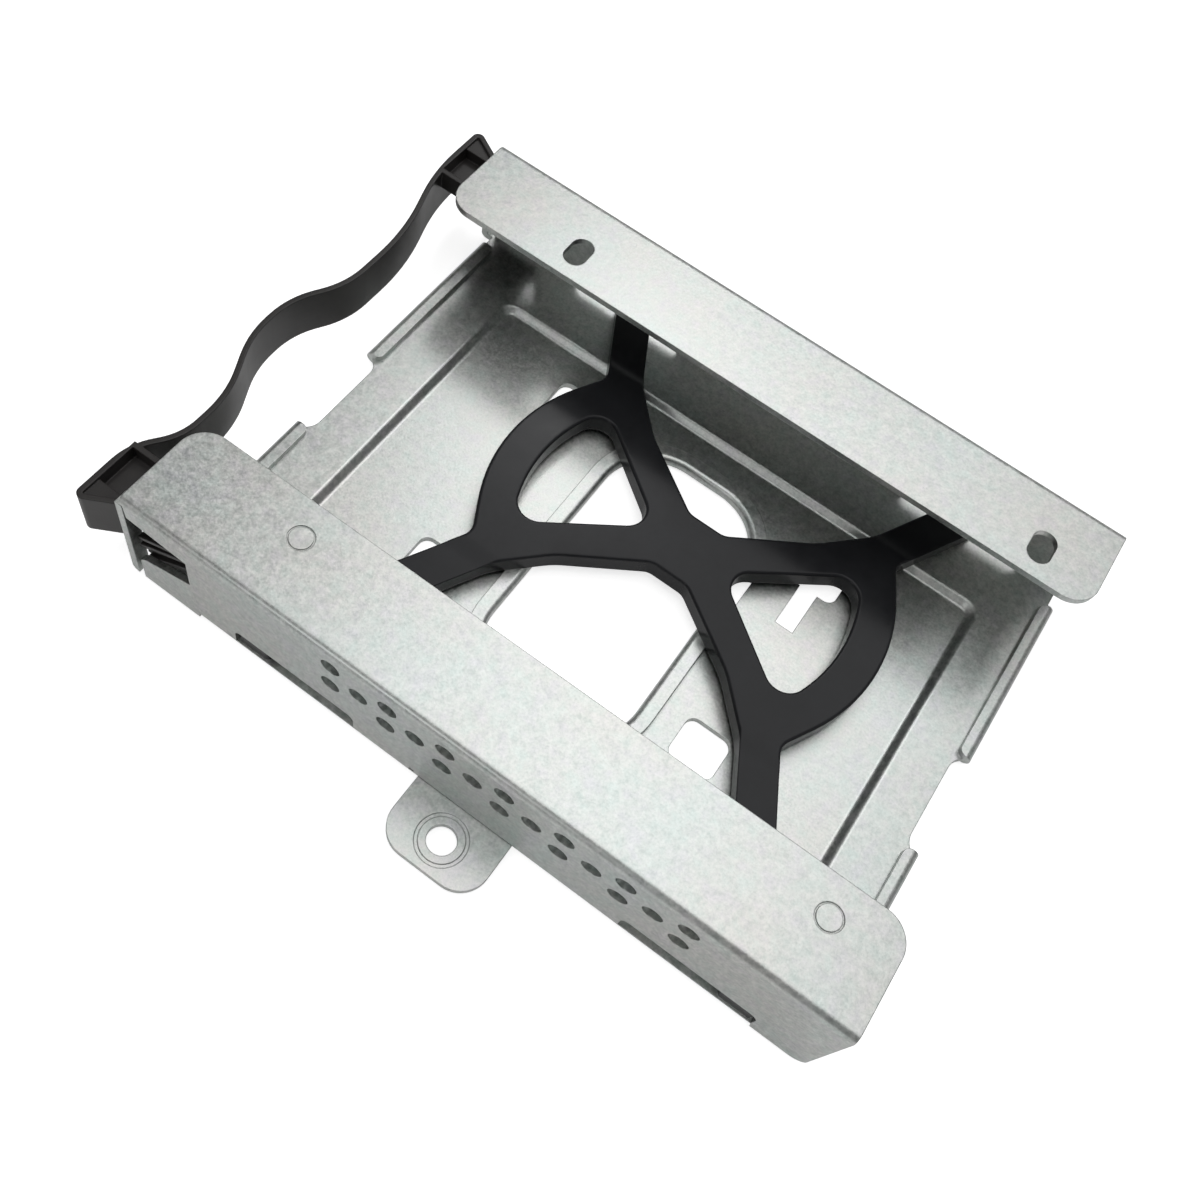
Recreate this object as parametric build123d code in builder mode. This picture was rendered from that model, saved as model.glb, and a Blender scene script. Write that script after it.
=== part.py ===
"""Hard drive mounting bracket: a folded sheet tray, a moulded damper and a snap-in handle.

Frame: X runs along the tray away from its handle, Y across it, Z up.
The pieces are drawn about the middle of the tray in plan, and are moved at the end, so that
the origin is the centre of the screw ear's hole, at the ear's underside.
All sizes are millimetres.
"""

import math
import os

from build123d import *

os.makedirs("parts", exist_ok=True)

# Sheet tray
SHEET = 1.0
TRAY_LENGTH = 106.2
TRAY_WIDTH = 81.84
TRAY_HEIGHT = 18.6
BEND_OUTER = 1.25
BEND_INNER = BEND_OUTER - SHEET
FLANGE_CORNER = 4.0
HALF_LENGTH = TRAY_LENGTH / 2
HALF_WIDTH = TRAY_WIDTH / 2
WALL_INNER = HALF_WIDTH - SHEET
FLANGE_UNDER = TRAY_HEIGHT - SHEET

# Drive fixings in the flanges: the bottom hole pattern of a 2.5 inch drive
DRIVE_HOLE_X = 76.6
DRIVE_HOLE_Y = 61.72
DRIVE_CENTRE_X = 5.75
DRIVE_HOLES = [DRIVE_CENTRE_X - DRIVE_HOLE_X / 2, DRIVE_CENTRE_X + DRIVE_HOLE_X / 2]
FLANGE_PAST_HOLES = 5.04
FLANGE_EDGE = DRIVE_HOLE_Y / 2 - FLANGE_PAST_HOLES
PEG_DIAMETER = 2.8
PEG_DEPTH = 0.7
PEG_RING_RADIUS = 1.7
PEG_RING_WIDTH = 0.22
PEG_RING_DEPTH = 0.2
SCREW_SLOT_WIDTH = 3.5
SCREW_SLOT_LENGTH = 5.5

# The bend between floor and wall stops short of the tray's ends
LEFT_RELIEF = 11.1
RIGHT_RELIEF = 7.5
BEND_LEFT = -HALF_LENGTH + LEFT_RELIEF
BEND_RIGHT = HALF_LENGTH - RIGHT_RELIEF
RELIEF_WIDTH = 0.5
FLOOR_SIDE = WALL_INNER - RELIEF_WIDTH
WALL_END_RADIUS = 2.0

# Floor ends and their folded hems
LEFT_SETBACK = 3.5
RIGHT_SETBACK = 2.1
LEFT_HEM = 2.4
RIGHT_HEM = 2.1
HEM_END_GAP = 2.92
FLOOR_LEFT = -HALF_LENGTH + LEFT_SETBACK
FLOOR_RIGHT = HALF_LENGTH - RIGHT_SETBACK
LEFT_FOLD = FLOOR_LEFT - LEFT_HEM
RIGHT_FOLD = FLOOR_RIGHT + RIGHT_HEM
HEM_NOTCH_NEAR = -9.3
HEM_NOTCH_FAR = 7.0
HEM_OUTER_END = FLOOR_SIDE - HEM_END_GAP
HEM_CORNER = 1.1
NOTCH_FLARE = 2.4

# Recessed floor panel, one sheet thickness deep, with a rounded step all round
LEFT_BORDER = 11.1
RIGHT_BORDER = 9.1
PANEL_LEFT = -HALF_LENGTH + LEFT_BORDER
PANEL_RIGHT = HALF_LENGTH - RIGHT_BORDER
PANEL_HALF_Y = 30.0
PANEL_CORNER = 2.4
PANEL_DEPTH = SHEET
STEP_RUN = 1.0
STEP_ROUND = 0.8
STEP_TAPER = math.degrees(math.atan(STEP_RUN / PANEL_DEPTH))
STEP_UNDER = math.hypot(STEP_RUN, PANEL_DEPTH) * SHEET / PANEL_DEPTH - STEP_RUN
PANEL_TOP = SHEET - PANEL_DEPTH
PANEL_UNDER = PANEL_TOP - SHEET

# Central opening with a folded band around it, and one notch in the band
OPENING_CENTRE = (0.35, -1.1)
OPENING_WIDTH = 23.9
OPENING_LENGTH = 46.4
OPENING_CORNER = 9.0
OPENING_BAND = 2.5
OPENING_NOTCH_START = 6.4
OPENING_NOTCH_END = 12.7
FOLD_NOSE = 0.9

# Square holes of the panel, and the keyhole in the far right one
HOLE_SIZE = 7.0
HOLE_CORNER = 1.5
SQUARE_HOLES = [(22.0, -14.3), (-23.0, -15.0), (-23.0, 20.4)]
KEYHOLE_CENTRE = (22.6, 20.6)
KEYHOLE_LENGTH = 8.2
KEYHOLE_SLOT_WIDTH = 2.9
KEYHOLE_SLOT_X = 22.15
KEYHOLE_SLOT_END = 9.0

# Vent holes of the near wall on a triangular grid
VENT_DIAMETER = 2.87
VENT_PITCH = 5.0
VENT_STEP_X = VENT_PITCH * math.sqrt(3) / 2
VENT_STEP_Z = VENT_PITCH / 2
VENT_CENTRE = (6.26, 12.53)
VENT_COLUMNS = 13

# Upright end tabs at the left corners
TAB_THICKNESS = 1.1
TAB_FOOT_ROUND = 0.9 * TAB_THICKNESS
TAB_WIDTH = 2.0
TAB_STANDOUT = 0.65
TAB_OUTER_X = -HALF_LENGTH - TAB_STANDOUT
TAB_INNER_X = TAB_OUTER_X + TAB_THICKNESS
TAB_INNER_Y = HALF_WIDTH - TAB_WIDTH
TAB_TOP_GAP = 0.15
TAB_TOP = FLANGE_UNDER - TAB_TOP_GAP
TAB_GAP_TOP = 0.2

# Handle window near the left end of each wall, open towards the end tab
WINDOW_REACH = 10.4
WINDOW_RIGHT = -HALF_LENGTH + WINDOW_REACH
WINDOW_TOP_RIGHT = 14.2
WINDOW_TOP_LEFT = 15.0
WINDOW_BOTTOM_RIGHT = 8.4
WINDOW_BOTTOM_LEFT = 5.7
LOWER_WALL_GAP = 1.05
LOWER_WALL_LEFT = TAB_INNER_X + LOWER_WALL_GAP
LOWER_WALL_CHAMFER = 1.0

# Screw ear on the near side, lanced out of the foot of the wall
EAR_CENTRE_X = 2.1
EAR_WIDTH = 14.9
EAR_REACH = 9.3
EAR_CORNER = 4.2
EAR_HOLE_REACH = 4.76
EAR_HOLE_DIAMETER = 4.0
EAR_RING_RADIUS = 3.3
EAR_RING_WIDTH = 0.5
EAR_RING_DEPTH = 0.25
LANCE_HEIGHT = 0.2
LANCE_END_SIZE = 0.8
LANCE_END_OFFSET = 1.1

# Damper: an X shaped plate with two three-sided windows, its outline counted from its centre
DAMPER_CENTRE = (4.9, 8.5)
DAMPER_BOTTOM = SHEET
DAMPER_THICKNESS = 3.1
DAMPER_EDGE = 0.4
ARM_DROP_START = 18.6
ARM_DROP_RUN = 3.0
ARM_DROP = 0.45
ARM_SLOPE = 0.51
ARM_ROOT_INNER = (20.6, 19.8)
ARM_ROOT_OUTER = (25.6, 17.4)
ARM_ROOT_RADIUS = 2.5
WAIST = (2.9, 5.2)
WAIST_RADIUS = 2.5
SHOULDER = (14.2, 13.0)
SHOULDER_RADIUS = 12.0
RING_SIDE_X = 31.2
RING_END = (28.2, 12.4)
DAMPER_WINDOW_APEX_X = 5.8
DAMPER_WINDOW_CORNER = (22.1, 12.3)
DAMPER_WINDOW_SIDE_X = 25.35
DAMPER_WINDOW_RADIUS = 3.1
TIP_TRIM = 1.7
TIP_GAP = 0.4
TIP_CORNER = 0.6

# Distances across the tray from the damper's centre to its far and near arm tips
FAR_REACH = HALF_WIDTH - TIP_GAP - DAMPER_CENTRE[1]
NEAR_REACH = HALF_WIDTH - TIP_GAP + DAMPER_CENTRE[1]
TIP_LIMIT = ARM_ROOT_OUTER[0] + ARM_SLOPE * (NEAR_REACH - ARM_ROOT_OUTER[1]) - TIP_TRIM
TIP_INNER = ARM_ROOT_INNER[0] + ARM_SLOPE * (FAR_REACH - ARM_ROOT_INNER[1])

# Slots at the foot of both walls, as wide as the near and the far arm tips together
SLOT_BOTTOM = SHEET
SLOT_TOP = 4.25
SLOT_RADIUS = 1.2
SLOT_OUTER_GAP = 0.5
SLOT_INNER_GAP = 6.0
SLOT_INNER = TIP_INNER - SLOT_INNER_GAP
SLOT_OUTER = TIP_LIMIT + SLOT_OUTER_GAP

# Handle: a thin bent strip with a hollow box at each end and arms into the tray
HANDLE_TOP = 14.2
HANDLE_BOTTOM = 6.6
HANDLE_WALL = 0.8
HANDLE_SHIFT_Y = 0.95
HANDLE_REACH = 6.4
HANDLE_OUTER_X = TAB_OUTER_X - HANDLE_REACH
STRIP_X = HANDLE_OUTER_X + HANDLE_WALL / 2
BOX_CLEARANCE = 0.25
BOX_INNER_X = TAB_OUTER_X - BOX_CLEARANCE
BOX_STANDOUT = 2.24
BOX_END_INSET = 1.03
BOX_CREASE_INSET = 1.52
BOX_CROSS_INSET = 8.37
BOX_CORNER_Y = HALF_WIDTH + BOX_STANDOUT
BOX_CORNER_RADIUS = 0.6
BOX_END_Y = HALF_WIDTH - BOX_END_INSET
BOX_CREASE_Y = HALF_WIDTH - BOX_CREASE_INSET
BOX_CROSS_Y = HALF_WIDTH - BOX_CROSS_INSET
POCKET_DEPTH = 2.2
POCKET_FLOOR = 0.9
SHELF_BOTTOM = HANDLE_TOP - POCKET_DEPTH - POCKET_FLOOR
WEB_DROP = 0.45

# Bends of the strip: the share of its length from the near end, and the step towards the tray
STRIP_BENDS = [
    (0.113, 0.0),
    (0.176, 4.0),
    (0.278, 4.0),
    (0.387, -0.4),
    (0.483, -0.4),
    (0.569, 3.9),
    (0.723, 4.0),
    (0.871, 0.0),
]
BEND_SHARE = 0.45

# Arms of the handle, and their ribbed heads behind the windows
ARM_THICKNESS = 1.6
ARM_TOP = 13.2
HEAD_END_GAP = 0.5
HEAD_START_GAP = 0.4
ARM_END_X = WINDOW_RIGHT - HEAD_END_GAP
HEAD_LEFT_X = TAB_INNER_X + HEAD_START_GAP
HEAD_BOTTOM = 3.6
HEAD_TOP = 14.8
HEAD_THICKNESS = 1.2
RIB_WIDTH = 0.6
RIB_DEPTH = 0.9
RIBS = [((0.45, 8.6), (8.65, 12.8)), ((0.45, 6.6), (8.85, 11.6)), ((1.45, 4.3), (8.85, 9.6))]
ARM_OUTER_Y = WALL_INNER - RIB_DEPTH - HEAD_THICKNESS

# From the middle of the tray to the ear's hole
TO_EAR_HOLE = Location((-EAR_CENTRE_X, HALF_WIDTH + EAR_HOLE_REACH, 0))

vents = [
    (
        VENT_CENTRE[0] + (column - (VENT_COLUMNS - 1) / 2) * VENT_STEP_X,
        VENT_CENTRE[1] + row * VENT_STEP_Z,
    )
    for row in (-1, 0, 1)
    for column in range(VENT_COLUMNS)
    if (row + column) % 2
]


def on_opening_edge(edge):
    """Say whether an edge's middle lies on the inner outline of the central opening."""
    middle = edge @ 0.5
    reach_x = abs(middle.X - OPENING_CENTRE[0]) - OPENING_WIDTH / 2 + OPENING_CORNER
    reach_y = abs(middle.Y - OPENING_CENTRE[1]) - OPENING_LENGTH / 2 + OPENING_CORNER
    outside = math.hypot(max(reach_x, 0), max(reach_y, 0)) + min(max(reach_x, reach_y), 0)
    return abs(outside - OPENING_CORNER) < FOLD_NOSE / 4


with BuildPart() as tray:
    # The folded channel: floor, walls and flanges
    with BuildSketch(Plane.YZ):
        with Locations((0, TRAY_HEIGHT / 2)):
            RectangleRounded(TRAY_WIDTH, TRAY_HEIGHT, BEND_OUTER)
            RectangleRounded(
                TRAY_WIDTH - 2 * SHEET, TRAY_HEIGHT - 2 * SHEET, BEND_INNER, mode=Mode.SUBTRACT
            )
        with Locations((0, TRAY_HEIGHT)):
            Rectangle(2 * FLANGE_EDGE, 3 * SHEET, mode=Mode.SUBTRACT)
    extrude(amount=HALF_LENGTH, both=True)
    flange_corners = tray.edges().filter_by(Axis.Z).filter_by_position(
        Axis.Z, FLANGE_UNDER, TRAY_HEIGHT
    )
    fillet(flange_corners, FLANGE_CORNER)

    # Straight wall ends, parted from the floor by a relief slit
    for end_x, bend_x in ((-HALF_LENGTH, BEND_LEFT), (HALF_LENGTH, BEND_RIGHT)):
        end_middle = (end_x + bend_x) / 2
        end_length = abs(end_x - bend_x)
        for side in (-1, 1):
            with BuildSketch():
                with Locations((end_middle, side * (HALF_WIDTH - SHEET / 2))):
                    Rectangle(end_length, SHEET)
            extrude(amount=TRAY_HEIGHT / 2)
            with BuildSketch():
                with Locations((end_middle, side * (WALL_INNER - RELIEF_WIDTH / 2))):
                    Rectangle(end_length, RELIEF_WIDTH)
            extrude(amount=SHEET + BEND_INNER, mode=Mode.SUBTRACT)
    with BuildSketch(Plane.XZ.offset(-HALF_WIDTH)):
        with BuildLine():
            Polyline(
                (HALF_LENGTH - WALL_END_RADIUS, 0), (HALF_LENGTH, 0), (HALF_LENGTH, WALL_END_RADIUS)
            )
            RadiusArc(
                (HALF_LENGTH, WALL_END_RADIUS), (HALF_LENGTH - WALL_END_RADIUS, 0), WALL_END_RADIUS
            )
        make_face()
    extrude(amount=TRAY_WIDTH, mode=Mode.SUBTRACT)

    # Floor ends, cut back and folded over into hems
    with BuildSketch():
        with Locations(((FLOOR_LEFT - HALF_LENGTH) / 2, 0)):
            Rectangle(HALF_LENGTH + FLOOR_LEFT, 2 * FLOOR_SIDE)
        with Locations(((FLOOR_RIGHT + HALF_LENGTH) / 2, 0)):
            Rectangle(HALF_LENGTH - FLOOR_RIGHT, 2 * FLOOR_SIDE)
    extrude(amount=SHEET, mode=Mode.SUBTRACT)
    for fold_x, floor_x, direction in ((LEFT_FOLD, FLOOR_LEFT, -1), (RIGHT_FOLD, FLOOR_RIGHT, 1)):
        nose_x = fold_x - direction * SHEET
        for start, stop in ((HEM_NOTCH_FAR, HEM_OUTER_END), (-HEM_OUTER_END, HEM_NOTCH_NEAR)):
            with BuildSketch(Plane.XZ.offset(-start)):
                with BuildLine():
                    Polyline((nose_x, 2 * SHEET), (floor_x, 2 * SHEET), (floor_x, 0), (nose_x, 0))
                    ThreePointArc((nose_x, 0), (fold_x, SHEET), (nose_x, 2 * SHEET))
                make_face()
            extrude(amount=start - stop)
            with BuildSketch(Plane.XY.offset(SHEET)):
                with Locations((fold_x, (start + stop) / 2)):
                    Rectangle(2 * abs(fold_x - floor_x), stop - start)
                    RectangleRounded(
                        2 * abs(fold_x - floor_x), stop - start, HEM_CORNER, mode=Mode.SUBTRACT
                    )
            extrude(amount=SHEET, mode=Mode.SUBTRACT)

    # Floor corners beyond the hems, the feet of the end tabs, and a flare at each hem's notch
    corner_middle = (FLOOR_SIDE + HEM_OUTER_END) / 2
    left_width = FLOOR_LEFT - LOWER_WALL_LEFT
    right_width = RIGHT_FOLD - SHEET - FLOOR_RIGHT
    foot_length = LOWER_WALL_LEFT + LOWER_WALL_CHAMFER - TAB_INNER_X
    with BuildSketch():
        for side in (-1, 1):
            with Locations((FLOOR_RIGHT + right_width / 2, side * corner_middle)):
                Rectangle(right_width, FLOOR_SIDE - HEM_OUTER_END)
            with Locations((FLOOR_LEFT - left_width / 2, side * corner_middle)):
                Rectangle(left_width, FLOOR_SIDE - HEM_OUTER_END)
            with Locations((TAB_INNER_X + foot_length / 2, side * (HALF_WIDTH - TAB_WIDTH / 2))):
                Rectangle(foot_length, TAB_WIDTH)
        for fold_x, floor_x in ((LEFT_FOLD + SHEET, FLOOR_LEFT), (RIGHT_FOLD - SHEET, FLOOR_RIGHT)):
            for notch_y, direction in ((HEM_NOTCH_FAR, -1), (HEM_NOTCH_NEAR, 1)):
                with BuildLine():
                    Polyline(
                        (floor_x, notch_y + direction * NOTCH_FLARE),
                        (floor_x, notch_y),
                        (fold_x, notch_y),
                    )
                    TangentArc(
                        (floor_x, notch_y + direction * NOTCH_FLARE),
                        (fold_x, notch_y),
                        tangent=(0, -direction),
                    )
                make_face()
    extrude(amount=SHEET)

    # Upright end tabs
    for side in (-1, 1):
        with BuildSketch(Plane.XZ.offset(-side * TAB_INNER_Y)):
            with Locations(((TAB_OUTER_X + TAB_INNER_X) / 2, TAB_TOP / 2)):
                Rectangle(TAB_THICKNESS, TAB_TOP)
        extrude(amount=-side * TAB_WIDTH)
    tab_feet = tray.edges().filter_by(Axis.Y).filter_by(
        lambda edge: abs(edge.center().Z) < SHEET / 2 and abs(edge.center().X - TAB_OUTER_X) < SHEET / 4
    )
    fillet(tab_feet, TAB_FOOT_ROUND)

    # Recessed floor panel with sloped sides
    panel_middle = ((PANEL_LEFT + PANEL_RIGHT) / 2, 0)
    panel_length = PANEL_RIGHT - PANEL_LEFT
    panel_width = 2 * PANEL_HALF_Y
    with BuildSketch():
        with Locations(panel_middle):
            RectangleRounded(
                panel_length + 2 * STEP_UNDER, panel_width + 2 * STEP_UNDER, PANEL_CORNER + STEP_UNDER
            )
    extrude(amount=-PANEL_DEPTH, taper=STEP_TAPER)
    fillet(tray.edges(Select.LAST).filter_by(Plane.XY), STEP_ROUND)
    with BuildSketch(Plane.XY.offset(SHEET)):
        with Locations(panel_middle):
            RectangleRounded(panel_length, panel_width, PANEL_CORNER)
    extrude(amount=-PANEL_DEPTH, taper=STEP_TAPER, mode=Mode.SUBTRACT)
    fillet(tray.edges(Select.LAST).filter_by(Plane.XY), STEP_ROUND)

    # Central opening, cut to the outer line of its folded band
    with BuildSketch(Plane.XY.offset(PANEL_UNDER)):
        with Locations(OPENING_CENTRE):
            RectangleRounded(
                OPENING_WIDTH + 2 * OPENING_BAND,
                OPENING_LENGTH + 2 * OPENING_BAND,
                OPENING_CORNER + OPENING_BAND,
            )
    extrude(amount=2 * SHEET, mode=Mode.SUBTRACT)
    notch_x = OPENING_CENTRE[0] + (OPENING_WIDTH + OPENING_BAND) / 2
    with BuildSketch(Plane.XY.offset(PANEL_UNDER)):
        with Locations(OPENING_CENTRE):
            RectangleRounded(
                OPENING_WIDTH + 2 * OPENING_BAND,
                OPENING_LENGTH + 2 * OPENING_BAND,
                OPENING_CORNER + OPENING_BAND,
            )
            RectangleRounded(OPENING_WIDTH, OPENING_LENGTH, OPENING_CORNER, mode=Mode.SUBTRACT)
        with Locations((notch_x, (OPENING_NOTCH_START + OPENING_NOTCH_END) / 2)):
            Rectangle(
                2 * OPENING_BAND, OPENING_NOTCH_END - OPENING_NOTCH_START, mode=Mode.SUBTRACT
            )
    extrude(amount=2 * SHEET)
    fillet(tray.edges().filter_by(on_opening_edge).filter_by(Plane.XY), FOLD_NOSE)

    # Square holes, and the keyhole with its narrow slot
    with BuildSketch(Plane.XY.offset(PANEL_UNDER)):
        with Locations(*SQUARE_HOLES):
            RectangleRounded(HOLE_SIZE, HOLE_SIZE, HOLE_CORNER)
        with Locations(KEYHOLE_CENTRE):
            RectangleRounded(HOLE_SIZE, KEYHOLE_LENGTH, HOLE_CORNER)
        keyhole_reach = KEYHOLE_CENTRE[1] - KEYHOLE_SLOT_END
        with Locations((KEYHOLE_SLOT_X, KEYHOLE_SLOT_END + keyhole_reach / 2)):
            Rectangle(KEYHOLE_SLOT_WIDTH, keyhole_reach)
    extrude(amount=SHEET, mode=Mode.SUBTRACT)

    # Damper slots through the foot of both walls
    with BuildSketch(Plane.XZ.offset(-2 * HALF_WIDTH)) as damper_slots:
        for side in (-1, 1):
            slot_x = DAMPER_CENTRE[0] + side * (SLOT_INNER + SLOT_OUTER) / 2
            with Locations((slot_x, (SLOT_BOTTOM + SLOT_TOP) / 2)):
                Rectangle(SLOT_OUTER - SLOT_INNER, SLOT_TOP - SLOT_BOTTOM)
        fillet(damper_slots.vertices().group_by(Axis.Y)[-1], SLOT_RADIUS)
    extrude(amount=4 * HALF_WIDTH, mode=Mode.SUBTRACT)

    # Vent holes
    with BuildSketch(Plane.XZ.offset(FLOOR_SIDE)):
        with Locations(*vents):
            Circle(VENT_DIAMETER / 2)
    extrude(amount=HALF_WIDTH - FLOOR_SIDE, mode=Mode.SUBTRACT)

    # Handle windows, with the slanting gap between each wall and its end tab
    for side in (-1, 1):
        with BuildSketch(Plane.XZ.offset(-side * WALL_INNER)):
            with BuildLine():
                Polyline(
                    (TAB_INNER_X, FLANGE_UNDER),
                    (TAB_INNER_X + TAB_GAP_TOP, FLANGE_UNDER),
                    (TAB_INNER_X + 2 * TAB_GAP_TOP, WINDOW_TOP_LEFT),
                    (WINDOW_RIGHT, WINDOW_TOP_RIGHT),
                    (WINDOW_RIGHT, WINDOW_BOTTOM_RIGHT),
                    (LOWER_WALL_LEFT + LOWER_WALL_CHAMFER, WINDOW_BOTTOM_LEFT),
                    (LOWER_WALL_LEFT, WINDOW_BOTTOM_LEFT - LOWER_WALL_CHAMFER),
                    (LOWER_WALL_LEFT, 0),
                    (TAB_INNER_X, 0),
                    close=True,
                )
            make_face()
        extrude(amount=-side * SHEET, mode=Mode.SUBTRACT)
        with BuildSketch(Plane.XZ.offset(-side * WALL_INNER)):
            with BuildLine():
                Polyline(
                    (-HALF_LENGTH - SHEET, TAB_TOP),
                    (TAB_INNER_X, TAB_TOP),
                    (TAB_INNER_X, FLANGE_UNDER),
                    (-HALF_LENGTH - SHEET, FLANGE_UNDER),
                    close=True,
                )
            make_face()
        extrude(amount=-side * SHEET, mode=Mode.SUBTRACT)

    # Screw ear, with the wall parted from it along a lanced slit
    ear_length = EAR_REACH + HALF_WIDTH - FLOOR_SIDE + EAR_CORNER
    ear_left = EAR_CENTRE_X - EAR_WIDTH / 2
    lance_left = ear_left - LANCE_END_OFFSET
    lance_length = EAR_WIDTH + LANCE_END_OFFSET
    with BuildSketch():
        with Locations((EAR_CENTRE_X, -HALF_WIDTH - EAR_REACH + ear_length / 2)):
            RectangleRounded(EAR_WIDTH, ear_length, EAR_CORNER)
    extrude(amount=SHEET)
    with BuildSketch(Plane.XZ.offset(WALL_INNER)):
        with Locations((lance_left, SHEET + LANCE_END_SIZE / 2)):
            Rectangle(LANCE_END_SIZE, LANCE_END_SIZE)
        with Locations((lance_left + lance_length / 2, SHEET + LANCE_HEIGHT / 2)):
            Rectangle(lance_length, LANCE_HEIGHT)
    extrude(amount=SHEET, mode=Mode.SUBTRACT)
    with BuildSketch():
        with Locations((EAR_CENTRE_X, -HALF_WIDTH - EAR_HOLE_REACH)):
            Circle(EAR_HOLE_DIAMETER / 2)
    extrude(amount=SHEET, mode=Mode.SUBTRACT)
    with BuildSketch(Plane.XY.offset(SHEET)):
        with Locations((EAR_CENTRE_X, -HALF_WIDTH - EAR_HOLE_REACH)):
            Circle(EAR_RING_RADIUS + EAR_RING_WIDTH / 2)
            Circle(EAR_RING_RADIUS - EAR_RING_WIDTH / 2, mode=Mode.SUBTRACT)
    extrude(amount=-EAR_RING_DEPTH, mode=Mode.SUBTRACT)

    # Drive fixings: pressed pegs in the near flange, screw slots in the far one
    with BuildSketch(Plane.XY.offset(TRAY_HEIGHT)):
        with Locations(*[(hole_x, -DRIVE_HOLE_Y / 2) for hole_x in DRIVE_HOLES]):
            Circle(PEG_RING_RADIUS + PEG_RING_WIDTH / 2)
            Circle(PEG_RING_RADIUS - PEG_RING_WIDTH / 2, mode=Mode.SUBTRACT)
    extrude(amount=-PEG_RING_DEPTH, mode=Mode.SUBTRACT)
    with BuildSketch(Plane.XY.offset(FLANGE_UNDER)):
        with Locations(*[(hole_x, -DRIVE_HOLE_Y / 2) for hole_x in DRIVE_HOLES]):
            Circle(PEG_DIAMETER / 2)
    extrude(amount=-PEG_DEPTH)
    with BuildSketch(Plane.XY.offset(TRAY_HEIGHT)):
        with Locations(*[(hole_x, DRIVE_HOLE_Y / 2) for hole_x in DRIVE_HOLES]):
            SlotOverall(SCREW_SLOT_LENGTH, SCREW_SLOT_WIDTH, rotation=90)
    extrude(amount=-SHEET, mode=Mode.SUBTRACT)

tray.part.move(TO_EAR_HOLE)
tray.part.label = "tray"
export_step(tray.part, "parts/tray.step")


def arm_point(root, reach):
    """Follow an arm's edge from its root to a given distance across the tray."""
    return (root[0] + ARM_SLOPE * (reach - root[1]), reach)


with BuildPart() as damper:
    with BuildSketch(Plane((*DAMPER_CENTRE, DAMPER_BOTTOM))) as damper_plan:
        # Right half of the outline: the ring's round side, then an arm, a shoulder and the waist
        with BuildLine():
            ThreePointArc((RING_END[0], -RING_END[1]), (RING_SIDE_X, 0), RING_END)
            for side, reach in ((1, FAR_REACH), (-1, NEAR_REACH)):
                corners = [
                    RING_END,
                    ARM_ROOT_OUTER,
                    arm_point(ARM_ROOT_OUTER, reach),
                    arm_point(ARM_ROOT_INNER, reach),
                    ARM_ROOT_INNER,
                    SHOULDER,
                    WAIST,
                    (0, WAIST[1]),
                ]
                FilletPolyline(
                    *[(x, side * y) for x, y in corners],
                    radius=[
                        ARM_ROOT_RADIUS,
                        TIP_CORNER,
                        TIP_CORNER,
                        SHOULDER_RADIUS,
                        SHOULDER_RADIUS,
                        WAIST_RADIUS,
                    ],
                )
            Line((0, -WAIST[1]), (0, WAIST[1]))
        make_face()

        # Three-sided window with a round outer side
        near_corner = (DAMPER_WINDOW_CORNER[0], -DAMPER_WINDOW_CORNER[1])
        with BuildLine():
            Polyline(near_corner, (DAMPER_WINDOW_APEX_X, 0), DAMPER_WINDOW_CORNER)
            ThreePointArc(DAMPER_WINDOW_CORNER, (DAMPER_WINDOW_SIDE_X, 0), near_corner)
        make_face(mode=Mode.SUBTRACT)
        mirror(about=Plane.YZ)
        for side in (-1, 1):
            with Locations((side * (TIP_LIMIT + HALF_LENGTH), 0)):
                Rectangle(TRAY_LENGTH, 2 * TRAY_WIDTH, mode=Mode.SUBTRACT)
        window_corners = damper_plan.vertices().filter_by(
            lambda vertex: DAMPER_WINDOW_APEX_X - TIP_CORNER < abs(vertex.X) < DAMPER_WINDOW_SIDE_X
            and abs(vertex.Y) < DAMPER_WINDOW_CORNER[1] + TIP_CORNER
            and (abs(vertex.Y) < TIP_CORNER or abs(vertex.X) > SHOULDER[0] + TIP_CORNER)
        )
        fillet(window_corners, DAMPER_WINDOW_RADIUS)
    extrude(amount=DAMPER_THICKNESS)

    # Soft top edges all round and in the windows
    fillet(damper.faces().sort_by(Axis.Z)[-1].edges(), DAMPER_EDGE)

    # The tops of the arms drop a little beside the ring, in a smooth double curve
    damper_top = DAMPER_BOTTOM + DAMPER_THICKNESS
    for side, reach in ((1, FAR_REACH), (-1, NEAR_REACH)):
        start_y = DAMPER_CENTRE[1] + side * ARM_DROP_START
        stop_y = start_y + side * ARM_DROP_RUN
        past_tip_y = DAMPER_CENTRE[1] + side * (reach + TIP_GAP)
        halfway = ((start_y + stop_y) / 2, damper_top - ARM_DROP / 2)
        with BuildSketch(Plane.YZ):
            with BuildLine():
                TangentArc((start_y, damper_top), halfway, tangent=(side, 0))
                TangentArc((stop_y, damper_top - ARM_DROP), halfway, tangent=(-side, 0))
                Polyline(
                    (stop_y, damper_top - ARM_DROP),
                    (past_tip_y, damper_top - ARM_DROP),
                    (past_tip_y, damper_top + ARM_DROP),
                    (start_y, damper_top + ARM_DROP),
                    (start_y, damper_top),
                )
            make_face()
        extrude(amount=TRAY_LENGTH, both=True, mode=Mode.SUBTRACT)

damper.part.move(TO_EAR_HOLE)
damper.part.label = "damper"
export_step(damper.part, "parts/damper.step")


def bend_radius(before, corner, after):
    """Give the radius of an arc that leaves a little of both straight runs at a corner."""
    run_in = Vector(*corner) - Vector(*before)
    run_out = Vector(*after) - Vector(*corner)
    half_turn = math.radians(run_in.get_angle(run_out)) / 2
    return BEND_SHARE * min(run_in.length, run_out.length) / math.tan(half_turn)


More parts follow.
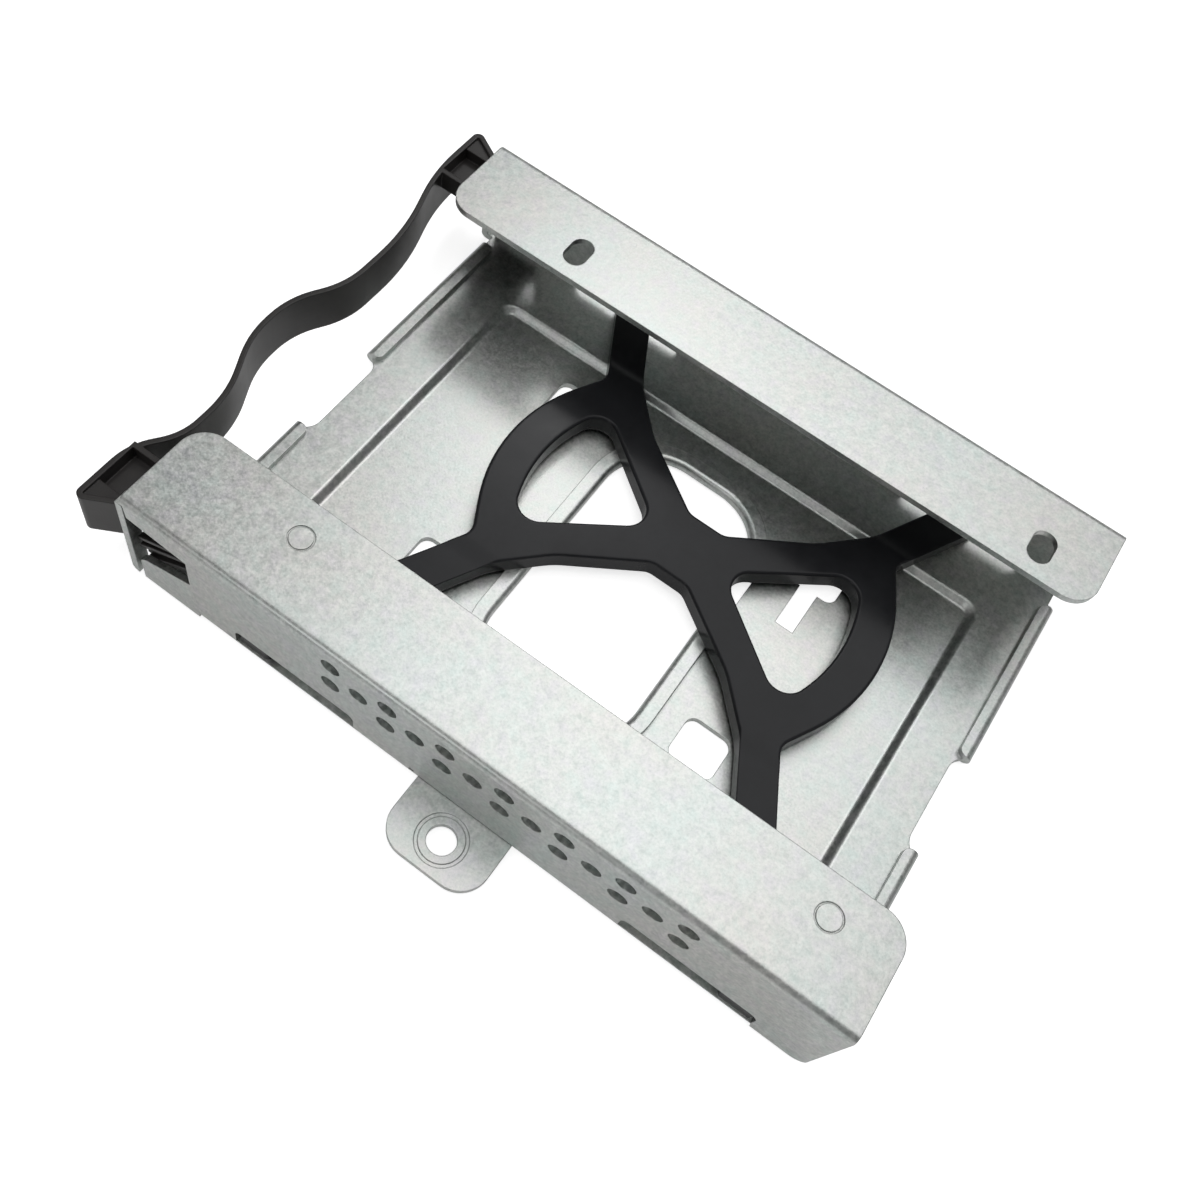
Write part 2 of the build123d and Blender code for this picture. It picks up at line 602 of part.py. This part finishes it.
near_end_y = HANDLE_SHIFT_Y - BOX_CORNER_Y
strip_corners = [(STRIP_X, near_end_y)]
for share, step in STRIP_BENDS:
    strip_corners.append((STRIP_X + step, near_end_y + share * 2 * BOX_CORNER_Y))
strip_corners.append((STRIP_X, HANDLE_SHIFT_Y + BOX_CORNER_Y))
strip_radii = [
    bend_radius(*strip_corners[index : index + 3]) for index in range(len(STRIP_BENDS))
]

with BuildPart() as handle:
    # One thin strip makes the grip and the outer walls of both boxes
    with BuildSketch(Plane.XY.offset(HANDLE_BOTTOM)):
        with BuildLine():
            FilletPolyline(
                (BOX_INNER_X, HANDLE_SHIFT_Y - BOX_END_Y),
                *strip_corners,
                (BOX_INNER_X, HANDLE_SHIFT_Y + BOX_END_Y),
                radius=[BOX_CORNER_RADIUS, *strip_radii, BOX_CORNER_RADIUS],
            )
        trace(line_width=HANDLE_WALL)
    extrude(amount=HANDLE_TOP - HANDLE_BOTTOM)

    for side in (-1, 1):
        corner_y = HANDLE_SHIFT_Y + side * BOX_CORNER_Y
        end_y = HANDLE_SHIFT_Y + side * BOX_END_Y
        cross_y = HANDLE_SHIFT_Y + side * BOX_CROSS_Y
        crease_y = HANDLE_SHIFT_Y + side * BOX_CREASE_Y

        # Shelf inside the corner, with a shallow pocket and a sunk web beyond it
        with BuildSketch(Plane.XY.offset(SHELF_BOTTOM)):
            with BuildLine():
                corner_wall = FilletPolyline(
                    (STRIP_X, cross_y),
                    (STRIP_X, corner_y),
                    (BOX_INNER_X, end_y),
                    radius=BOX_CORNER_RADIUS,
                )
                Polyline(corner_wall @ 1, (BOX_INNER_X, cross_y), corner_wall @ 0)
            make_face()
        extrude(amount=HANDLE_TOP - SHELF_BOTTOM)
        for recess_end, depth in ((corner_y, WEB_DROP), (crease_y, POCKET_DEPTH)):
            recess_start = cross_y + side * HANDLE_WALL
            with BuildSketch(Plane.XY.offset(HANDLE_TOP)):
                with BuildLine():
                    corner_wall = FilletPolyline(
                        (STRIP_X, cross_y),
                        (STRIP_X, corner_y),
                        (BOX_INNER_X, end_y),
                        radius=BOX_CORNER_RADIUS,
                    )
                    Polyline(corner_wall @ 1, (BOX_INNER_X, cross_y), corner_wall @ 0)
                make_face()
                offset(amount=-HANDLE_WALL / 2, mode=Mode.REPLACE)
                with Locations(
                    (
                        (STRIP_X + BOX_INNER_X - HANDLE_WALL) / 2,
                        (recess_start + recess_end) / 2,
                    )
                ):
                    Rectangle(
                        BOX_INNER_X - HANDLE_WALL - STRIP_X,
                        abs(recess_end - recess_start),
                        mode=Mode.INTERSECT,
                    )
            extrude(amount=-depth, mode=Mode.SUBTRACT)

        # Inner wall beside the end tab, and the arm that runs into the tray
        arm_inner_y = side * (ARM_OUTER_Y - ARM_THICKNESS)
        with BuildSketch(Plane.XY.offset(HANDLE_BOTTOM)):
            with Locations((BOX_INNER_X - HANDLE_WALL / 2, (arm_inner_y + end_y) / 2)):
                Rectangle(HANDLE_WALL, abs(end_y - arm_inner_y))
        extrude(amount=HANDLE_TOP - HANDLE_BOTTOM)
        arm_start_x = BOX_INNER_X - HANDLE_WALL
        with BuildSketch(Plane.XY.offset(HANDLE_BOTTOM)):
            with Locations(((arm_start_x + ARM_END_X) / 2, side * (ARM_OUTER_Y - ARM_THICKNESS / 2))):
                Rectangle(ARM_END_X - arm_start_x, ARM_THICKNESS)
        extrude(amount=ARM_TOP - HANDLE_BOTTOM)

        # Ribbed head behind the wall's window
        with BuildSketch(Plane.XY.offset(HEAD_BOTTOM)):
            with Locations(((HEAD_LEFT_X + ARM_END_X) / 2, side * (ARM_OUTER_Y + HEAD_THICKNESS / 2))):
                Rectangle(ARM_END_X - HEAD_LEFT_X, HEAD_THICKNESS)
        extrude(amount=HEAD_TOP - HEAD_BOTTOM)
        for (start_x, start_z), (stop_x, stop_z) in RIBS:
            with BuildSketch(Plane.XZ.offset(-side * (ARM_OUTER_Y + HEAD_THICKNESS))):
                with BuildLine():
                    Line((TAB_INNER_X + start_x, start_z), (TAB_INNER_X + stop_x, stop_z))
                trace(line_width=RIB_WIDTH)
            extrude(amount=-side * RIB_DEPTH)

handle.part.move(TO_EAR_HOLE)
handle.part.label = "handle"
export_step(handle.part, "parts/handle.step")
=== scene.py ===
"""Hard drive mounting bracket, dressed for rendering: galvanised sheet, moulded damper and handle."""

import bpy
from mathutils import Matrix, Vector


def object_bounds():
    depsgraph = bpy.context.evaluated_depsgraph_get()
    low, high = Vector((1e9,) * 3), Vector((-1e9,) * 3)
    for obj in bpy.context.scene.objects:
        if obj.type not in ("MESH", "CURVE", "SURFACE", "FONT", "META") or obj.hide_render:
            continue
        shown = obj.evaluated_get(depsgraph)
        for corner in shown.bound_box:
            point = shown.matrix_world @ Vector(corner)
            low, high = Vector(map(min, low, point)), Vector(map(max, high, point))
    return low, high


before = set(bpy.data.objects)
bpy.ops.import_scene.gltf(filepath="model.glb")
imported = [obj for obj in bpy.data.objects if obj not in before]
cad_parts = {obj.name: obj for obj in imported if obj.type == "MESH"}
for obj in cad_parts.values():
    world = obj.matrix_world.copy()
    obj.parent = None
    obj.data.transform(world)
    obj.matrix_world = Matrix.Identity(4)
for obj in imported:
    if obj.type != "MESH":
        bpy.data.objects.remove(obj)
cad_box = [list(corner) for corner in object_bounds()]
MM = 0.001

# Camera, solved from the photograph: place and axes in the part's own frame
CAMERA_PLACE = Vector((16.715, -41.617, 155.582)) * MM
CAMERA_RIGHT = Vector((0.80827, 0.57301, 0.13549))
CAMERA_DOWN = Vector((0.56336, -0.68566, -0.46097))
CAMERA_AHEAD = Vector((-0.17124, 0.44892, -0.87701))
IMAGE_SIDE = 1200
FOCAL_PIXELS = 1253.09
CENTRE_PIXEL = (526.30, 574.34)
SENSOR = 36.0
CLIP_START = 0.01
CLIP_END = 10.0

# Noise over the surfaces: features to the metre, octaves of detail and roughness
SPANGLE_NOISE = (850.0, 3.0, 0.65)
GRAIN_NOISE = (2600.0, 2.0, 0.6)
CLOUD_NOISE = (60.0, 2.0, 0.5)
HUE_NOISE = (380.0, 3.0, 0.6)
MOTTLE_NOISE = (120.0, 4.0, 0.6)
MOULDING_NOISE = (2500.0, 2.0, 0.5)

# Steel, in stops of a noise value with a colour or a roughness
SPANGLE_STOPS = ((0.36, (0.43, 0.45, 0.445)), (0.64, (0.67, 0.675, 0.672)))
CLOUD_STOPS = ((0.35, (0.97, 1.0, 0.985)), (0.65, (1.0, 0.985, 0.96)))
HUE_STOPS = ((0.34, (0.955, 1.0, 0.985)), (0.5, (1.0, 1.0, 0.99)), (0.66, (0.99, 0.965, 1.0)))
STEEL_ROUGHNESS_STOPS = ((0.38, 0.34), (0.62, 0.44))
SPANGLE_SHARE = 0.5

# Mouldings: colours, roughness, strength of the gloss, and how far the mottle shifts them
DAMPER_COLOUR = (0.017, 0.0175, 0.0195)
DAMPER_ROUGHNESS = 0.22
DAMPER_GLOSS = 0.18
HANDLE_COLOUR = (0.024, 0.0215, 0.0205)
HANDLE_ROUGHNESS = 0.35
HANDLE_GLOSS = 0.5
MOTTLE_LOW = 0.3
MOTTLE_HIGH = 0.7
MOTTLE_COLOUR_SHIFT = 0.2
MOTTLE_ROUGHNESS_SHIFT = 0.05

# Relief of a surface: bump strength, bump height and radius of the edges, in metres
STEEL_RELIEF = (0.3, 0.00007, 0.00018)
MOULDING_RELIEF = (0.15, 0.00003, 0.0003)
EDGE_SAMPLES = 6

# Surroundings: the world's light on the object, and the floor with its glow to the camera and in gloss
WHITE = (1.0, 1.0, 1.0, 1.0)
WORLD_LEVEL = 0.24
FLOOR_REACH = 3.0
FLOOR_COLOUR = (0.8, 0.8, 0.8, 1.0)
FLOOR_ROUGHNESS = 0.9
FLOOR_GLOSS = 0.1
FLOOR_GLOW = 0.75
FLOOR_SHINE = 0.2

# Lamps: place, point faced, size in metres and power in watts
TRAY_MIDDLE = (0.0, 0.045, 0.0)
KEY_PLACE = (-0.005, 0.42, 1.0)
KEY_TARGET = (-0.005, 0.42, 0.0)
KEY_SIZE = (0.72, 1.55)
KEY_POWER = 5.8
EDGE_PLACE = (-0.2, -0.72, 0.42)
EDGE_SIZE = (0.16, 0.16)
EDGE_POWER = 0.5
SHEEN_PLACE = (-0.234, 0.56, 0.68)
SHEEN_SIZE = (0.15, 0.15)
SHEEN_POWER = 0.35

# Sockets of the Mix node: factor, the two colours, and the colour that comes out
MIX_FACTOR = 0
MIX_BASE = 6
MIX_LAYER = 7
MIX_RESULT = 2


def add_camera():
    """Place the camera at the photograph's viewpoint."""
    data = bpy.data.cameras.new("camera")
    data.sensor_width = SENSOR
    data.lens = FOCAL_PIXELS * SENSOR / IMAGE_SIDE
    data.shift_x = (IMAGE_SIDE / 2 - CENTRE_PIXEL[0]) / IMAGE_SIDE
    data.shift_y = (CENTRE_PIXEL[1] - IMAGE_SIDE / 2) / IMAGE_SIDE
    data.clip_start = CLIP_START
    data.clip_end = CLIP_END
    camera = bpy.data.objects.new("camera", data)
    bpy.context.scene.collection.objects.link(camera)
    rotation = Matrix((CAMERA_RIGHT, -CAMERA_DOWN, -CAMERA_AHEAD)).transposed()
    camera.matrix_world = Matrix.Translation(CAMERA_PLACE) @ rotation.to_4x4()
    bpy.context.scene.camera = camera


def new_material(name):
    """Start a node material and return it with its tree and its shader."""
    material = bpy.data.materials.new(name)
    material.use_nodes = True
    tree = material.node_tree
    return material, tree, tree.nodes["Principled BSDF"]


def add_node(tree, kind, **values):
    """Add a node and set its properties, or its input sockets by name."""
    node = tree.nodes.new(kind)
    for key, value in values.items():
        if hasattr(node, key):
            setattr(node, key, value)
        else:
            node.inputs[key.replace("_", " ")].default_value = value
    return node


def calculate(tree, operation, *terms):
    """Result of a calculation with sockets and plain numbers."""
    node = add_node(tree, "ShaderNodeMath", operation=operation)
    for socket, term in zip(node.inputs, terms):
        if isinstance(term, float):
            socket.default_value = term
        else:
            tree.links.new(term, socket)
    return node.outputs[0]


def noise(tree, place, scale, detail, roughness):
    """Noise value at a place on the surface."""
    node = add_node(tree, "ShaderNodeTexNoise", Scale=scale, Detail=detail, Roughness=roughness)
    tree.links.new(place, node.inputs["Vector"])
    return node.outputs["Fac"]


def ramp(tree, source, stops):
    """Colour over a value, from (value, colour) stops."""
    node = tree.nodes.new("ShaderNodeValToRGB")
    elements = node.color_ramp.elements
    while len(elements) < len(stops):
        elements.new(0.5)
    for element, (position, colour) in zip(elements, stops):
        element.position = position
        element.color = (*colour, 1.0)
    tree.links.new(source, node.inputs["Fac"])
    return node.outputs["Color"]


def grey_ramp(tree, source, stops):
    """Level over a value, from (value, level) stops."""
    return ramp(tree, source, [(position, (level, level, level)) for position, level in stops])


def add_relief(tree, shader, height, strength, depth, edge_radius):
    """Shallow bump on a surface whose sharp edges look rounded."""
    edges = add_node(tree, "ShaderNodeBevel", samples=EDGE_SAMPLES, Radius=edge_radius)
    bump = add_node(tree, "ShaderNodeBump", Strength=strength, Distance=depth)
    tree.links.new(height, bump.inputs["Height"])
    tree.links.new(edges.outputs["Normal"], bump.inputs["Normal"])
    tree.links.new(bump.outputs["Normal"], shader.inputs["Normal"])


def galvanised_steel():
    """Zinc coated sheet: small pale spangles, faint colour casts and a soft gloss."""
    material, tree, shader = new_material("galvanised_steel")
    place = add_node(tree, "ShaderNodeTexCoord").outputs["Object"]
    patches = noise(tree, place, *SPANGLE_NOISE)
    grain = noise(tree, place, *GRAIN_NOISE)
    clouds = noise(tree, place, *CLOUD_NOISE)
    hues = noise(tree, place, *HUE_NOISE)
    spangle = calculate(tree, "MULTIPLY", calculate(tree, "ADD", patches, grain), SPANGLE_SHARE)
    colour = ramp(tree, spangle, SPANGLE_STOPS)
    for layer in (ramp(tree, clouds, CLOUD_STOPS), ramp(tree, hues, HUE_STOPS)):
        tint = add_node(tree, "ShaderNodeMix", data_type="RGBA", blend_type="MULTIPLY")
        tint.inputs[MIX_FACTOR].default_value = 1.0
        tree.links.new(colour, tint.inputs[MIX_BASE])
        tree.links.new(layer, tint.inputs[MIX_LAYER])
        colour = tint.outputs[MIX_RESULT]
    tree.links.new(colour, shader.inputs["Base Color"])
    gloss = grey_ramp(tree, spangle, STEEL_ROUGHNESS_STOPS)
    tree.links.new(gloss, shader.inputs["Roughness"])
    add_relief(tree, shader, spangle, *STEEL_RELIEF)
    shader.inputs["Metallic"].default_value = 1.0
    return material


def moulded(name, colour, roughness, gloss_level):
    """Satin black moulding with a faint grain."""
    material, tree, shader = new_material(name)
    shader.inputs["Specular IOR Level"].default_value = gloss_level
    place = add_node(tree, "ShaderNodeTexCoord").outputs["Object"]
    mottle = noise(tree, place, *MOTTLE_NOISE)
    grain = noise(tree, place, *MOULDING_NOISE)
    dark = tuple(channel * (1 - MOTTLE_COLOUR_SHIFT) for channel in colour)
    light = tuple(channel * (1 + MOTTLE_COLOUR_SHIFT) for channel in colour)
    shade = ramp(tree, mottle, [(MOTTLE_LOW, dark), (MOTTLE_HIGH, light)])
    tree.links.new(shade, shader.inputs["Base Color"])
    smooth = roughness - MOTTLE_ROUGHNESS_SHIFT
    rough = roughness + MOTTLE_ROUGHNESS_SHIFT
    gloss = grey_ramp(tree, mottle, [(MOTTLE_LOW, smooth), (MOTTLE_HIGH, rough)])
    tree.links.new(gloss, shader.inputs["Roughness"])
    add_relief(tree, shader, grain, *MOULDING_RELIEF)
    return material


def dress(node, material):
    """Give a node of the frame its material."""
    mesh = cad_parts[node].data
    mesh.materials.clear()
    mesh.materials.append(material)


def add_floor():
    """Pale floor that reads as white where nothing shades it."""
    level = cad_box[0][2]
    mesh = bpy.data.meshes.new("floor")
    mesh.from_pydata(
        [
            (-FLOOR_REACH, -FLOOR_REACH, level),
            (FLOOR_REACH, -FLOOR_REACH, level),
            (FLOOR_REACH, FLOOR_REACH, level),
            (-FLOOR_REACH, FLOOR_REACH, level),
        ],
        [],
        [(0, 1, 2, 3)],
    )
    floor = bpy.data.objects.new("floor", mesh)
    bpy.context.scene.collection.objects.link(floor)
    material, tree, shader = new_material("floor")
    shader.inputs["Base Color"].default_value = FLOOR_COLOUR
    shader.inputs["Roughness"].default_value = FLOOR_ROUGHNESS
    shader.inputs["Specular IOR Level"].default_value = FLOOR_GLOSS
    path = add_node(tree, "ShaderNodeLightPath")
    seen = calculate(tree, "MULTIPLY", path.outputs["Is Camera Ray"], FLOOR_GLOW)
    strength = calculate(tree, "MULTIPLY_ADD", path.outputs["Is Glossy Ray"], FLOOR_SHINE, seen)
    glow = add_node(tree, "ShaderNodeEmission")
    tree.links.new(strength, glow.inputs["Strength"])
    total = add_node(tree, "ShaderNodeAddShader")
    tree.links.new(shader.outputs[0], total.inputs[0])
    tree.links.new(glow.outputs[0], total.inputs[1])
    tree.links.new(total.outputs[0], tree.nodes["Material Output"].inputs["Surface"])
    mesh.materials.append(material)


def add_lamp(name, place, target, size, power):
    """Rectangular soft lamp that faces a point."""
    data = bpy.data.lights.new(name, "AREA")
    data.shape = "RECTANGLE"
    data.size, data.size_y = size
    data.energy = power
    lamp = bpy.data.objects.new(name, data)
    bpy.context.scene.collection.objects.link(lamp)
    lamp.location = place
    lamp.rotation_euler = (Vector(target) - Vector(place)).to_track_quat("-Z", "Y").to_euler()


def add_world():
    """Even surroundings, white to the camera and dimmer where they light the object."""
    world = bpy.data.worlds.new("world")
    world.use_nodes = True
    tree = world.node_tree
    background = tree.nodes["Background"]
    background.inputs["Color"].default_value = WHITE
    path = add_node(tree, "ShaderNodeLightPath")
    strength = calculate(tree, "MAXIMUM", path.outputs["Is Camera Ray"], WORLD_LEVEL)
    tree.links.new(strength, background.inputs["Strength"])
    bpy.context.scene.world = world


add_camera()
add_world()
add_floor()
add_lamp("key", KEY_PLACE, KEY_TARGET, KEY_SIZE, KEY_POWER)
add_lamp("edge", EDGE_PLACE, TRAY_MIDDLE, EDGE_SIZE, EDGE_POWER)
add_lamp("sheen", SHEEN_PLACE, TRAY_MIDDLE, SHEEN_SIZE, SHEEN_POWER)
dress("tray", galvanised_steel())
dress("damper", moulded("damper_rubber", DAMPER_COLOUR, DAMPER_ROUGHNESS, DAMPER_GLOSS))
dress("handle", moulded("handle_plastic", HANDLE_COLOUR, HANDLE_ROUGHNESS, HANDLE_GLOSS))

scene = bpy.context.scene
scene.view_settings.view_transform = "Standard"
